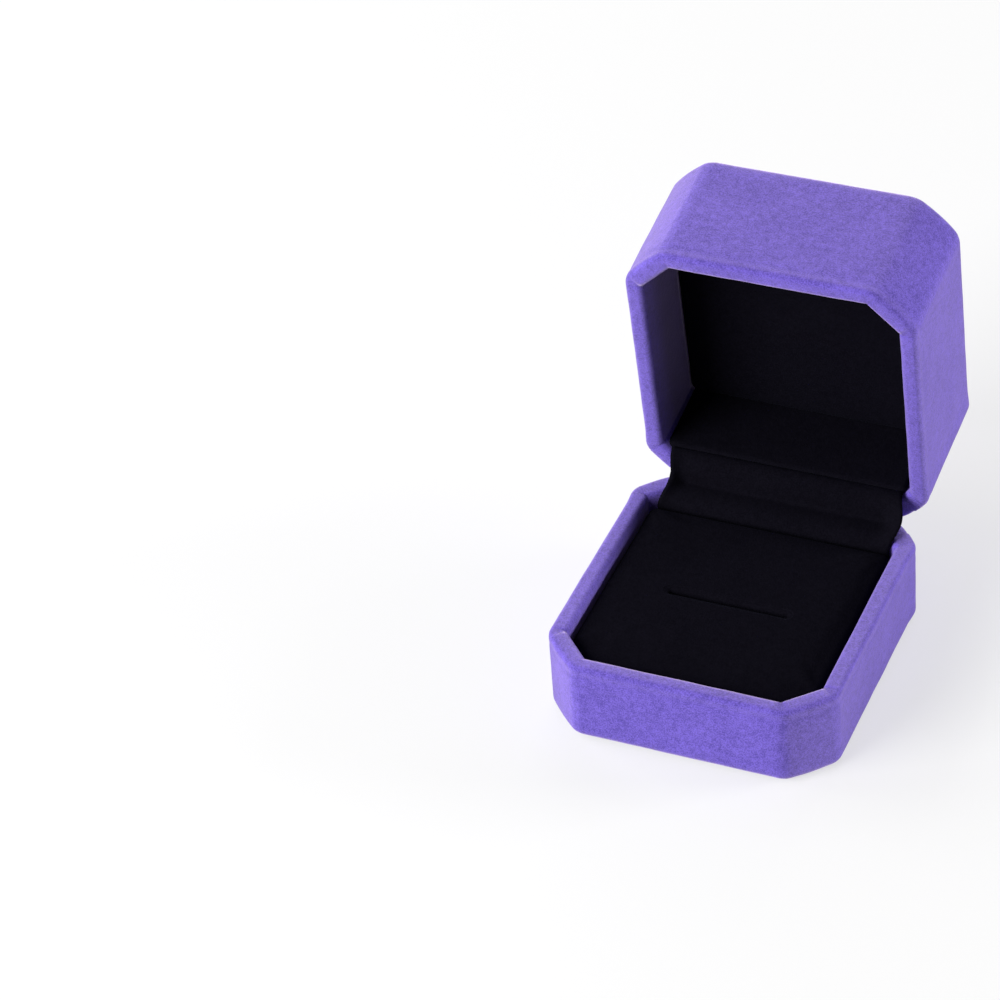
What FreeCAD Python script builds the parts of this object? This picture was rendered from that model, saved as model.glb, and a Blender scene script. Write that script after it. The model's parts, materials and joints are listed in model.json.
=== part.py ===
import FreeCAD, Part
import math
import os

# A small velvet box with cut corners and a hinged lid, in millimetres.
# The middle of the underside is the origin, +Z is up, the front faces -Y and the hinge is at the back.

# Outside of the box
box_width = 58.0
box_depth = 61.7
corner_cut = 8.1
corner_round = 4.0
least_round = 0.5
base_height = 17.8
lid_height = 28.1
parting_gap = 0.3
open_angle = 82.0

# Walls: a moulded shell with velvet glued round it
shell_wall = 2.1
velvet = 0.7
glue_gap = 0.05
rim_round = 1.5
top_rim_round = 1.2
shell_rim_round = 0.7
bottom_round = 1.5
base_skin_drop = 8.0
base_floor = 2.4
lid_web = 1.6

# Underside
felt = 0.5
felt_inset = 2.5
turn_in = 7.0

# Pads, boards and cushion
board = 1.0
fit_gap = 0.3
pad_sink = 1.4
pad_round = 0.6
pad_corner = 1.5
hinge_bay = 9.3
slit_length = 24.0
slit_gap = 1.6
slit_depth = 8.0
lip_round = 0.5
lid_room = 15.4
lining_foam_thick = 1.6
panel_board = 0.7
panel_lift = 2.0
cushion_sink = 1.3
crown_rise = 1.9
shoulder_round = 1.2
cushion_draw_in = 0.5
cushion_corner = 3.0

# Hinge
hinge_length = 30.0
end_knuckle = 5.9
knuckle_gap = 0.2
leaf_thick = 0.6
leaf_clearance = 0.4
pin_clearance = 0.05
notch_gap = 0.3
rivet_spread = 11.0
rivet_edge = 3.1
rivet_radius = 0.8
rivet_head_radius = 1.5
rivet_head = 0.5
spring_width = 6.0
spring_thick = 0.3
spring_reach = 5.0
spring_stand = 0.3
spring_tab = 1.0

# Flap of velvet over the hinge
flap_thick = 0.9
flap_waist_width = 40.6
flap_waist_share = 0.36

# How far a cut runs past what it cuts, and how near two heights count as one
overrun = 5.0
same_height = 0.001

# Sizes that follow from the ones above
rim_thick = shell_wall + 2 * (velvet + glue_gap)
shell_outside = velvet + glue_gap
shell_inside = shell_outside + shell_wall
pad_inset = rim_thick + fit_gap
back_face = box_depth / 2
pad_back = back_face - hinge_bay
lid_rim = base_height + parting_gap
lid_top = lid_rim + lid_height
wrap_low = felt
floor_low = wrap_low + velvet
floor_top = floor_low + base_floor
pad_low = floor_top + board
pad_top = base_height - pad_sink
lining_face = lid_rim + lid_room
lining_foam_low = lining_face + velvet
lining_board_low = lining_foam_low + lining_foam_thick
web_low = lining_board_low + board
web_top = web_low + lid_web
cushion_low = web_top + board
shoulder_top = lid_top - cushion_sink
hinge_y = back_face - rim_thick / 2
hinge_z = base_height - rim_thick / 2
leaf_height = hinge_z - floor_top - leaf_clearance
rivet_reach = leaf_height - rivet_edge
knuckle_radius = shell_wall / 2 + glue_gap + leaf_thick
bore_radius = knuckle_radius - leaf_thick
pin_radius = bore_radius - pin_clearance
leaf_front = hinge_y - knuckle_radius
leaf_back = leaf_front + leaf_thick
half_hinge = hinge_length / 2
inner_knuckle = spring_width / 2 + notch_gap
hinge_point = FreeCAD.Vector(0, hinge_y, hinge_z)
along_hinge = FreeCAD.Vector(1, 0, 0)


def rounded_outline(corners, radius):
    """A closed outline through the corners, each turned with the same radius."""
    edges = []
    last_end = None
    first_start = None
    for index, corner in enumerate(corners):
        to_last = (corners[index - 1] - corner).normalize()
        to_next = (corners[(index + 1) % len(corners)] - corner).normalize()
        half_angle = to_last.getAngle(to_next) / 2
        inward = (to_last + to_next).normalize()
        start = corner + to_last * (radius / math.tan(half_angle))
        end = corner + to_next * (radius / math.tan(half_angle))
        middle = corner + inward * (radius / math.sin(half_angle) - radius)
        if last_end is None:
            first_start = start
        else:
            edges.append(Part.LineSegment(last_end, start).toShape())
        edges.append(Part.Arc(start, middle, end).toShape())
        last_end = end
    edges.append(Part.LineSegment(last_end, first_start).toShape())
    return Part.Wire(edges)


def block(inset, low, high, corner_turn=0):
    """A solid with the box's cut-corner outline, drawn in by the inset, between two heights."""
    half_x = box_width / 2 - inset
    half_y = box_depth / 2 - inset
    leg = corner_cut - inset * (2 - math.sqrt(2))
    corners = [
        FreeCAD.Vector(half_x, leg - half_y, low),
        FreeCAD.Vector(half_x, half_y - leg, low),
        FreeCAD.Vector(half_x - leg, half_y, low),
        FreeCAD.Vector(leg - half_x, half_y, low),
        FreeCAD.Vector(-half_x, half_y - leg, low),
        FreeCAD.Vector(-half_x, leg - half_y, low),
        FreeCAD.Vector(leg - half_x, -half_y, low),
        FreeCAD.Vector(half_x - leg, -half_y, low),
    ]
    turn = corner_turn or max(corner_round - inset, least_round)
    outline = rounded_outline(corners, turn)
    return Part.Face(outline).extrude(FreeCAD.Vector(0, 0, high - low))


def slab(half_x, front, back, low, high):
    """A plain block centred on the box's middle plane."""
    corner = FreeCAD.Vector(-half_x, front, low)
    return Part.makeBox(2 * half_x, back - front, high - low, corner)


def tube(outer_inset, inner_inset, low, high):
    """A wall that follows the box's outline."""
    return block(outer_inset, low, high).cut(block(inner_inset, low - overrun, high + overrun))


def rod(radius, start, end, axis_point, direction):
    """A round bar along a direction, between two distances from a point."""
    return Part.makeCylinder(radius, end - start, axis_point + direction * start, direction)


def edges_at(shape, height):
    """The edges of a shape that lie flat at one height."""
    flat = []
    for edge in shape.Edges:
        box = edge.BoundBox
        if abs(box.ZMin - height) < same_height and abs(box.ZMax - height) < same_height:
            flat.append(edge)
    return flat


def pad_block(under, low, high):
    """A solid with the pads' outline, straight at the back, at a depth under their outer face."""
    half_x = box_width / 2 - pad_inset - under
    front = pad_inset + under - box_depth / 2
    back = pad_back - under
    leg = corner_cut - (pad_inset + under) * (2 - math.sqrt(2))
    corners = [
        FreeCAD.Vector(half_x, front + leg, low),
        FreeCAD.Vector(half_x, back, low),
        FreeCAD.Vector(-half_x, back, low),
        FreeCAD.Vector(-half_x, front + leg, low),
        FreeCAD.Vector(leg - half_x, front, low),
        FreeCAD.Vector(half_x - leg, front, low),
    ]
    outline = rounded_outline(corners, pad_corner - under)
    return Part.Face(outline).extrude(FreeCAD.Vector(0, 0, high - low))


def rivet_holes(side):
    """Holes in the back wall for one leaf's rivets: side is 1 for the lid, -1 for the base."""
    return rivet_bars(side, rivet_radius + glue_gap, leaf_front - overrun, back_face + overrun)


def rivet_bars(side, radius, front, back):
    """One round bar at each rivet's place, from front to back."""
    height = hinge_z + side * rivet_reach
    bars = []
    for x in (-rivet_spread, rivet_spread):
        start = FreeCAD.Vector(x, 0, height)
        bars.append(rod(radius, front, back, start, FreeCAD.Vector(0, 1, 0)))
    return Part.makeCompound(bars)


def hinge_notch():
    """The room for the barrel in the top of the base's back wall."""
    half_x = half_hinge + notch_gap
    low = hinge_z - knuckle_radius - notch_gap
    return slab(half_x, leaf_front - overrun, back_face + overrun, low, base_height + overrun)


def leaf_pocket(low, high):
    """The stretch of inner velvet that is left out behind a hinge leaf."""
    front = back_face - rim_thick - fit_gap
    return slab(half_hinge + notch_gap, front, back_face - rim_thick + velvet, low, high)


def base_felt():
    return block(felt_inset, 0, felt)


def base_card():
    return block(turn_in + fit_gap, felt, floor_low)


def base_wrap():
    """Velvet over the base: up the outside, over the rim and down the inside, turned in below."""
    body = block(0, wrap_low, base_height)
    body = body.makeFillet(bottom_round, edges_at(body, wrap_low))
    body = body.cut(block(rim_thick, floor_low, base_height + overrun))
    body = body.makeFillet(rim_round, edges_at(body, base_height))
    skin_low = base_height - base_skin_drop
    wall_room = tube(velvet, rim_thick - velvet, skin_low, base_height - velvet)
    body = body.cut(wall_room)
    body = body.cut(block(velvet, floor_low, skin_low))
    body = body.cut(block(turn_in, wrap_low - overrun, floor_low + overrun))
    body = body.cut(hinge_notch())
    return body.cut(leaf_pocket(skin_low - overrun, base_height + overrun))


def base_shell():
    """Moulded tray inside the base's velvet."""
    top = base_height - shell_outside
    body = block(shell_outside, floor_low, top)
    body = body.cut(block(shell_inside, floor_top, top + overrun))
    body = body.makeFillet(shell_rim_round, edges_at(body, top))
    body = body.cut(hinge_notch())
    return body.cut(rivet_holes(-1))


def slit(margin):
    """The holding slit in the pad, wider all round by the margin."""
    middle = (pad_back + pad_inset - back_face) / 2
    front = middle - slit_gap / 2 - margin
    back = middle + slit_gap / 2 + margin
    low = pad_top - slit_depth - margin
    return slab(slit_length / 2 + margin, front, back, low, pad_top + overrun)


def pad_board():
    return pad_block(0, floor_top, pad_low)


def pad_foam():
    body = pad_block(velvet + glue_gap, pad_low, pad_top - velvet - glue_gap)
    return body.cut(slit(velvet + glue_gap))


def pad_velvet():
    """Black velvet over the pad's top and sides, tucked down into the slit."""
    body = pad_block(0, pad_low, pad_top)
    body = body.makeFillet(pad_round, edges_at(body, pad_top))
    body = body.cut(pad_block(velvet, pad_low - overrun, pad_top - velvet))
    liner = slit(velvet).common(pad_block(0, pad_low, pad_top))
    body = body.fuse(liner).removeSplitter().cut(slit(0))
    mouth = slit(same_height).BoundBox
    lips = [edge for edge in edges_at(body, pad_top) if mouth.isInside(edge.BoundBox.Center)]
    return body.makeFillet(lip_round, lips)


def lid_wrap():
    """Velvet over the lid's wall: outside, over both rims and down the inside to the web."""
    body = tube(0, rim_thick, lid_rim, lid_top)
    body = body.makeFillet(rim_round, edges_at(body, lid_rim))
    body = body.makeFillet(top_rim_round, edges_at(body, lid_top))
    body = body.cut(tube(velvet, rim_thick - velvet, lid_rim + velvet, lid_top - velvet))
    body = body.cut(block(velvet, web_low, web_top))
    return body.cut(leaf_pocket(lid_rim - overrun, web_low + overrun))


def lid_shell():
    """Moulded wall of the lid with the web that carries the cushion above and the lining below."""
    low = lid_rim + shell_outside
    top = lid_top - shell_outside
    body = tube(shell_outside, shell_inside, low, top)
    body = body.makeFillet(shell_rim_round, edges_at(body, low) + edges_at(body, top))
    body = body.fuse(block(shell_outside, web_low, web_top)).removeSplitter()
    return body.cut(rivet_holes(1))


def lining_velvet():
    """Black velvet ceiling of the lid, with its edges turned up round the foam and the board."""
    body = pad_block(0, lining_face, web_low)
    body = body.makeFillet(pad_round, edges_at(body, lining_face))
    return body.cut(pad_block(velvet, lining_foam_low, web_low + overrun))


def lining_foam():
    return pad_block(velvet + glue_gap, lining_foam_low, lining_board_low)


def lining_board():
    return pad_block(velvet + glue_gap, lining_board_low, web_low)


def back_panel(front, back):
    """An upright sheet between the lid's rim and its web, cut to the lid's corners."""
    low = lid_rim + panel_lift
    return slab(box_width / 2, front, back, low, web_low).common(block(pad_inset, low, web_low))


def back_panel_velvet():
    return back_panel(pad_back, pad_back + velvet)


def back_panel_board():
    return back_panel(pad_back + velvet, pad_back + velvet + panel_board)


def cushion_body(under, low):
    """The cushion's form, with rounded shoulders and a crown, at a depth under its outer face."""
    crown = shoulder_top + crown_rise - under
    reach = box_width / 2 - pad_inset
    radius = (reach * reach + crown_rise * crown_rise) / (2 * crown_rise) - under
    middle = FreeCAD.Vector(0, 0, crown - radius)
    ball = Part.makeSphere(radius, middle)
    ball.rotate(middle, along_hinge, 90)
    body = block(pad_inset + under, low, crown + overrun, cushion_corner - under).common(ball)
    dome = [face for face in body.Faces if isinstance(face.Surface, Part.Sphere)]
    return body.makeFillet(shoulder_round - under, dome[0].Edges)


def cushion_velvet():
    """Velvet over the cushion, drawn in at its lower edge."""
    body = cushion_body(0, cushion_low)
    body = body.makeChamfer(cushion_draw_in, edges_at(body, cushion_low))
    return body.cut(cushion_body(velvet, cushion_low - overrun))


def cushion_foam():
    return cushion_body(velvet + glue_gap, cushion_low)


def cushion_board():
    return block(pad_inset + cushion_draw_in, web_top, cushion_low, cushion_corner)


def knuckles(spans):
    """Rolled ends of a leaf, one tube for each span along the hinge."""
    tubes = []
    for start, end in spans:
        outer = rod(knuckle_radius, start, end, hinge_point, along_hinge)
        bore = rod(bore_radius, start - overrun, end + overrun, hinge_point, along_hinge)
        tubes.append(outer.cut(bore))
    return tubes


def leaf(side, spans):
    """One hinge leaf on the back wall: its plate, tongues and knuckles. side is 1 for the lid."""
    far = hinge_z + side * leaf_height
    near = hinge_z + side * (knuckle_radius + notch_gap)
    body = slab(half_hinge, leaf_front, leaf_back, min(near, far), max(near, far))
    for start, end in spans:
        corner = FreeCAD.Vector(start, leaf_front, min(hinge_z, near))
        tongue = Part.makeBox(end - start, leaf_thick, abs(near - hinge_z), corner)
        bore = rod(bore_radius, start - overrun, end + overrun, hinge_point, along_hinge)
        body = body.fuse(tongue.cut(bore))
    for knuckle in knuckles(spans):
        body = body.fuse(knuckle)
    hook = hinge_z + side * (spring_reach - fit_gap)
    tip = hinge_z + side * (spring_reach + spring_tab + fit_gap)
    half_window = spring_width / 2 + fit_gap
    window = slab(half_window, leaf_front - overrun, leaf_back + overrun, min(hook, tip), max(hook, tip))
    body = body.removeSplitter().cut(window)
    return body.cut(rivet_holes(side))


def base_leaf():
    inner = half_hinge - end_knuckle
    return leaf(-1, [(-half_hinge, -inner), (inner, half_hinge)])


def lid_leaf():
    outer = half_hinge - end_knuckle - knuckle_gap
    return leaf(1, [(-outer, -inner_knuckle), (inner_knuckle, outer)])


def hinge_pin():
    return rod(pin_radius, -half_hinge, half_hinge, hinge_point, along_hinge)


def rivets(side):
    """Two rivets: a head inside, a shank through leaf and shell, flush under the velvet."""
    shanks = rivet_bars(side, rivet_radius, leaf_front, back_face - shell_outside)
    heads = rivet_bars(side, rivet_head_radius, leaf_front - rivet_head, leaf_front)
    joined = []
    for shank, head in zip(shanks.Solids, heads.Solids):
        joined.append(shank.fuse(head).removeSplitter())
    return Part.makeCompound(joined)


def opened(shape):
    """A piece of the lid, swung from shut to open about the hinge pin."""
    swung = shape.copy()
    swung.rotate(hinge_point, along_hinge, -open_angle)
    return swung


def opened_point(y, z):
    """A point of the shut lid's middle plane, where the open lid holds it."""
    return opened(Part.Vertex(FreeCAD.Vector(0, y, z))).Point


def snap_spring():
    """A bowed strip that hooks both leaves and pulls them past the pin, so the lid snaps open and shut."""
    stand = leaf_front - spring_stand
    low_end = FreeCAD.Vector(0, stand, hinge_z - spring_reach)
    high_end = opened_point(stand, hinge_z + spring_reach)
    half_open = math.radians(open_angle / 2)
    clear = knuckle_radius + fit_gap + spring_thick / 2
    bow = hinge_point + FreeCAD.Vector(0, -math.cos(half_open), math.sin(half_open)) * clear
    centre = Part.Arc(low_end, bow, high_end).toShape().Curve.Center
    sides = []
    for offset in (-spring_thick / 2, spring_thick / 2):
        ends = []
        for end, turn in ((low_end, -1), (high_end, 1)):
            outward = (end - centre).normalize()
            tangent = outward.cross(along_hinge) * turn
            foot = end + outward * offset
            ends.append((foot + tangent * spring_tab, foot))
        middle = bow + (bow - centre).normalize() * offset
        first_tab = Part.LineSegment(ends[0][0], ends[0][1]).toShape()
        arc = Part.Arc(ends[0][1], middle, ends[1][1]).toShape()
        last_tab = Part.LineSegment(ends[1][1], ends[1][0]).toShape()
        sides.append(([first_tab, arc, last_tab], ends[0][0], ends[1][0]))
    near_side, near_start, near_end = sides[0]
    far_side, far_start, far_end = sides[1]
    first_cap = Part.LineSegment(near_start, far_start).toShape()
    last_cap = Part.LineSegment(near_end, far_end).toShape()
    outline = Part.Wire(Part.__sortEdges__(near_side + far_side + [first_cap, last_cap]))
    strip = Part.Face(outline).extrude(along_hinge * spring_width)
    strip.translate(along_hinge * (-spring_width / 2))
    return strip


def room_across(y):
    """The clear width between the back corners' inner faces, at a distance from the box's middle."""
    leg = corner_cut - pad_inset * (2 - math.sqrt(2))
    return box_width - 2 * pad_inset - 2 * max(y - (back_face - pad_inset - leg), 0)


def hinge_flap():
    """Velvet flap from the pad's back edge to the lid's back panel, cut in at the waist for the corners."""
    low_end = FreeCAD.Vector(0, pad_back + fit_gap, pad_top)
    high_end = opened_point(pad_back, lid_rim + panel_lift - fit_gap - flap_thick)
    run = high_end - low_end
    end_half = room_across(pad_back + fit_gap + flap_thick) / 2
    waist_half = flap_waist_width / 2
    waist = low_end + run * flap_waist_share
    corners = [
        low_end - along_hinge * end_half,
        low_end + along_hinge * end_half,
        waist + along_hinge * waist_half,
        high_end + along_hinge * end_half,
        high_end - along_hinge * end_half,
        waist - along_hinge * waist_half,
    ]
    face = Part.Face(Part.makePolygon(corners + corners[:1]))
    down = run.cross(along_hinge).normalize()
    return face.extrude(down * flap_thick)


base_pieces = {
    "base_bottom_felt": base_felt(),
    "base_bottom_card": base_card(),
    "base_velvet_wrap": base_wrap(),
    "base_shell": base_shell(),
    "pad_board": pad_board(),
    "pad_foam": pad_foam(),
    "pad_velvet": pad_velvet(),
    "hinge_base_leaf": base_leaf(),
    "hinge_pin": hinge_pin(),
    "base_leaf_rivets": rivets(-1),
    "hinge_snap_spring": snap_spring(),
    "hinge_flap": hinge_flap(),
}
lid_pieces = {
    "lid_shell": lid_shell(),
    "lid_velvet_wrap": lid_wrap(),
    "lining_board": lining_board(),
    "lining_foam": lining_foam(),
    "lining_velvet": lining_velvet(),
    "back_panel_board": back_panel_board(),
    "back_panel_velvet": back_panel_velvet(),
    "cushion_board": cushion_board(),
    "cushion_foam": cushion_foam(),
    "cushion_velvet": cushion_velvet(),
    "hinge_lid_leaf": lid_leaf(),
    "lid_leaf_rivets": rivets(1),
}

os.makedirs("parts", exist_ok=True)
pieces = dict(base_pieces)
for name, shape in lid_pieces.items():
    pieces[name] = opened(shape)
for name, shape in pieces.items():
    shape.exportStep(os.path.join("parts", name + ".step"))
    print(name, "solids", len(shape.Solids), "valid", shape.isValid(), "volume", round(shape.Volume, 1))
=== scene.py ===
# %% [markdown]
# # A velvet jewelry box
# The CAD frame is a small box with cut corners: moulded shells, boards, foam, a steel hinge.
# What a buyer sees is cloth. Nearly every visible face is velvet that was wrapped, glued or padded by hand.
# This lesson keeps the rigid frame as it is and makes each cloth piece anew, where the CAD has its plain solid.

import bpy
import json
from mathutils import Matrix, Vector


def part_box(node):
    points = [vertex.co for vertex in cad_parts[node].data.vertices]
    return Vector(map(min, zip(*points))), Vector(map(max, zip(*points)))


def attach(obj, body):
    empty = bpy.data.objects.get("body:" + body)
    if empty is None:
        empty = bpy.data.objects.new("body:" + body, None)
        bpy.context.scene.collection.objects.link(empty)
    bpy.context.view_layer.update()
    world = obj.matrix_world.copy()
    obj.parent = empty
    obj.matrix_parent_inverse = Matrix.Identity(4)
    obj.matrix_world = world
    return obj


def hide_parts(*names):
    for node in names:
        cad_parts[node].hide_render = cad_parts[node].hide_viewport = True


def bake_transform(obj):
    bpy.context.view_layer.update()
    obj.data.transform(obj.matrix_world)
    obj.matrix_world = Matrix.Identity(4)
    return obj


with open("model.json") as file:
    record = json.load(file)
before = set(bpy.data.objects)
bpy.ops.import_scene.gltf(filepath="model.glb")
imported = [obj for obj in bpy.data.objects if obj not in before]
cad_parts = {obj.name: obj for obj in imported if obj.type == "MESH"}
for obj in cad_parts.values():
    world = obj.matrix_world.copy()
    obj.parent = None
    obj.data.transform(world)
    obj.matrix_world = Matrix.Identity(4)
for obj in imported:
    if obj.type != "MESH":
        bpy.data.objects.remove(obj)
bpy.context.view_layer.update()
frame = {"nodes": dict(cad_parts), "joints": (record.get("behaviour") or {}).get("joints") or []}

import cmath
import json
import math

import bmesh
import bpy
import numpy as np
from mathutils import Matrix, Vector, noise

# %% [markdown]
# ## Sizes
# A maker thinks in millimetres and Blender in metres, so every size below is a number times mm.
# The outside comes from the frame itself. The hinge's place and travel come from its joint.
# That way the cloth can't drift away from the shells that carry it.

# %% Sizes from the frame
mm = 0.001

hinge_joint = frame["joints"][0]
hinge_point = Vector(hinge_joint["pos_m"])
open_angle = math.radians(hinge_joint["range_deg"][1])
wrap_low, wrap_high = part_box("base_velvet_wrap")
half_width = wrap_high.x
half_depth = wrap_high.y
base_height = wrap_high.z
corner_cut = 8.1 * mm
corner_round = 3.5 * mm
least_round = 0.6 * mm
rim_thick = 3.6 * mm
parting_gap = 0.3 * mm
lid_rim = base_height + parting_gap
lid_height = 28.1 * mm
lid_top = lid_rim + lid_height
ceiling_face = lid_rim + 15.4 * mm
cushion_floor = ceiling_face + 6.0 * mm
velvet = 0.65 * mm

print("box", [round(size / mm, 2) for size in (2 * half_width, 2 * half_depth, lid_top)], "mm shut")

# %% [markdown]
# ## Camera
# The photograph was taken from the front right and from above, with a long lens.
# The box stands right of the picture's middle.
# A pinhole camera was fitted to the corners of the box, and these are its place, its aim and its small tilt.
# Keeping the box off the middle, rather than shifting the lens, leaves every other view free.

# %% Camera
eye = Vector((209.4, -530.8, 497.0)) * mm
aim = Vector((-45.0, -4.95, 32.1)) * mm
tilt = math.radians(5.05)
lens_length, film_width = 140.4, 36.0

camera_data = bpy.data.cameras.new("camera")
camera_data.lens = lens_length
camera_data.sensor_width = film_width
camera = bpy.data.objects.new("camera", camera_data)
bpy.context.scene.collection.objects.link(camera)
camera.location = eye
camera.rotation_mode = "QUATERNION"
roll = Matrix.Rotation(-tilt, 3, "Z").to_quaternion()
camera.rotation_quaternion = (aim - eye).to_track_quat("-Z", "Y") @ roll
bpy.context.scene.camera = camera
print("camera", round((aim - eye).length, 3), "m from its aim")

# %% [markdown]
# ## Outlines
# Seen from above the box is a rectangle with four cut corners.
# That leaves eight corners, each turned with a radius.
# Complex numbers suit such a line: a corner is one number, and a turn is one multiplication.
# Every outline of a kind has the same count of points, so two of them can be joined by a band of quads.

# %% Outlines
arc_steps = 12
seam_side, back_side = 1, 2
seam_share = 0.36
# Along the seam's side, as shares of it: close together where the cloth's edge overlaps.
seam_shares = np.array([0.06, 0.13, 0.2, 0.26, 0.31, 0.34, 0.357, 0.363, 0.375, 0.4, 0.45, 0.55, 0.7, 0.85])
# Along the back, in mm from its middle: close together at the ends of the hinge's notch.
right_marks = [16.9, 16.1, 15.6, 15.36, 15.26, 15.18, 15.1, 15.03, 14.7, 13.8]
right_marks += list(np.linspace(12.6, 0.0, 11))
hinge_marks = np.array(right_marks + [-mark for mark in reversed(right_marks[:-1])]) * mm
# Points on each straight side. The seam's side and the back have their own.
box_steps = [48, 0, 0, 10, 48, 10, 44, 10]
pad_steps = [36, 40, 36, 6, 30, 6]


def turned_line(corners, radius, steps, fitted=False):
    """A closed line through corners that run anticlockwise, each turned with the radius.
    A fitted line has its points where the seam and the hinge need them."""
    arcs = []
    for index, corner in enumerate(corners):
        into = corner - corners[index - 1]
        out = corners[(index + 1) % len(corners)] - corner
        turn = cmath.phase(out / into)
        start = corner - into / abs(into) * radius * math.tan(turn / 2)
        centre = start + 1j * radius * into / abs(into)
        arcs.append(centre + (start - centre) * np.exp(1j * turn * np.linspace(0, 1, arc_steps + 1)))
    line = []
    for index, arc in enumerate(arcs):
        goal = arcs[(index + 1) % len(arcs)][0]
        shares = np.linspace(0, 1, steps[index] + 2)[1:-1]
        if fitted and index == seam_side:
            shares = seam_shares
        if fitted and index == back_side:
            shares = (arc[-1].real - hinge_marks) / (arc[-1].real - goal.real)
        line.extend(arc)
        line.extend(arc[-1] + (goal - arc[-1]) * shares)
    return np.array(line)


def cut_leg(inset):
    """The cut corner's leg on an outline that is drawn in by the inset."""
    return corner_cut - inset * (2 - math.sqrt(2))


def box_outline(inset, radius=None):
    """The box's own outline, drawn in by the inset."""
    x = half_width - inset
    y = half_depth - inset
    leg = cut_leg(inset)
    corners = [
        complex(x, leg - y), complex(x, y - leg), complex(x - leg, y), complex(leg - x, y),
        complex(-x, y - leg), complex(-x, leg - y), complex(leg - x, -y), complex(x - leg, -y),
    ]
    return turned_line(corners, radius or max(corner_round - inset, least_round), box_steps, True)


def pad_outline(inset, back, radius):
    """The outline of a pad inside the box: cut corners in front, straight at the back."""
    x = half_width - inset
    y = half_depth - inset
    leg = cut_leg(inset)
    corners = [
        complex(x, leg - y), complex(x, back), complex(-x, back),
        complex(-x, leg - y), complex(leg - x, -y), complex(x - leg, -y),
    ]
    return turned_line(corners, radius, pad_steps)


print("the box's outline has", len(box_outline(0)), "points")

# %% [markdown]
# ## Skins
# A wrapped piece is a section carried round an outline, like a moulding round a picture frame.
# The section is a line of two numbers: how deep under the outer face, and how high.
# Doubling that line gives the cloth its thickness, so the mesh is closed and has no loose border.

# %% Skins
to_hinge, from_hinge = Matrix.Translation(-hinge_point), Matrix.Translation(hinge_point)
lid_swing = from_hinge @ Matrix.Rotation(-open_angle, 4, "X") @ to_hinge


def arc(depth, height, radius, start, end, count=7):
    """Points of an arc in the section, from one angle to another in degrees."""
    angles = np.radians(np.linspace(start, end, count))
    return [(depth + radius * math.cos(angle), height + radius * math.sin(angle)) for angle in angles]


def straight(start, end, count):
    """Points between two points of the section, without its ends."""
    across, up = end[0] - start[0], end[1] - start[1]
    shares = np.linspace(0, 1, count + 2)[1:-1]
    return [(start[0] + across * share, start[1] + up * share) for share in shares]


def doubled(line, thick):
    """The line and, on its left, a second line at the cloth's thickness, as one loop."""
    points = np.array([complex(*point) for point in line])
    along = np.gradient(points)
    under = points + 1j * along / np.abs(along) * thick
    loop = list(points) + list(under[::-1])
    return [(point.real, point.imag) for point in loop]


def make_piece(name, points, faces, moved=None):
    """A smooth mesh object of its own, with its faces turned outwards."""
    mesh = bpy.data.meshes.new(name)
    mesh.from_pydata([tuple(point) for point in points], [], faces)
    work = bmesh.new()
    work.from_mesh(mesh)
    bmesh.ops.recalc_face_normals(work, faces=work.faces)
    work.to_mesh(mesh)
    work.free()
    if moved is not None:
        mesh.transform(moved)
    mesh.shade_smooth()
    piece = bpy.data.objects.new(name, mesh)
    bpy.context.scene.collection.objects.link(piece)
    return piece


def bands(rows, count, closed):
    """Quads between rows of points that each close on themselves. Closed joins the last row to the first."""
    faces = []
    for row in range(rows if closed else rows - 1):
        here = row * count
        there = (row + 1) % rows * count
        for column in range(count):
            after = (column + 1) % count
            faces.append((here + column, here + after, there + after, there + column))
    return faces


def strip(name, loops, moved=None):
    """A closed piece of loops that follow each other, with a face over the first and the last."""
    count = len(loops[0])
    points = [point for loop in loops for point in loop]
    faces = bands(len(loops), count, False)
    faces.append(tuple(range(count)))
    faces.append(tuple(range(len(points) - count, len(points))))
    return make_piece(name, points, faces, moved)


def ruffle(piece, amount, grain):
    """Moves each point a little along its normal, so that glued cloth isn't dead flat."""
    moved = [
        vertex.co + vertex.normal * amount * noise.noise(vertex.co / grain) for vertex in piece.data.vertices
    ]
    piece.data.vertices.foreach_set("co", np.array(moved, np.float32).ravel())
    piece.data.update()


hinge_mm = [round(part / mm, 2) for part in hinge_point]
print("lid swings", round(math.degrees(open_angle), 1), "degrees about", hinge_mm)

# %% [markdown]
# ## The velvet wraps
# One strip of velvet goes round the base and one round the lid.
# Each is glued to its shell, rolled over the rims and tucked in on the inside.
# A shallow welt runs along each rim.
# The back has the hinge: there the base's cloth dips into a notch for the barrel.
# Behind the leaves it lies thinner.
# Two numbers per point go to the finish: where a paler colour is painted near a rim as painted sheen,
# and where a deeper colour is painted inside as painted shade.

# %% The velvet wraps
inner_rim_round = 1.2 * mm
back_rim_round = 1.15 * mm
front_rim_round = 1.0 * mm
notch_drop = 3.6 * mm
notch_reach = 17 * mm
thin_share = 0.8
seam_lift, seam_groove = 0.15 * mm, 0.06 * mm
seam_near = (-0.3, 1.3)
groove_share = 0.12
crimp_depth = 0.08 * mm
plain_half_run, long_half_run = 0.5, 0.75
base_bulges, lid_bulges = (0.35 * mm, 0.85 * mm), (0.5 * mm, 0.65 * mm)
# Pairs for smooth(): where a change begins and where it is complete.
back_turn = (26.5 * mm, 29 * mm)
notch_end = (15.03 * mm, 15.36 * mm)
notch_levels = (5 * mm, 12 * mm)
inner_depths = (1.5 * mm, 2.2 * mm)
outer_depths = (0.3 * mm, 1.6 * mm)
crimp_reach = (0.3 * mm, 1.1 * mm)
# Painted sheen: a paler colour is painted within this distance of a rim.
rim_sheen_reach = (0.6 * mm, 2.2 * mm)
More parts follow.
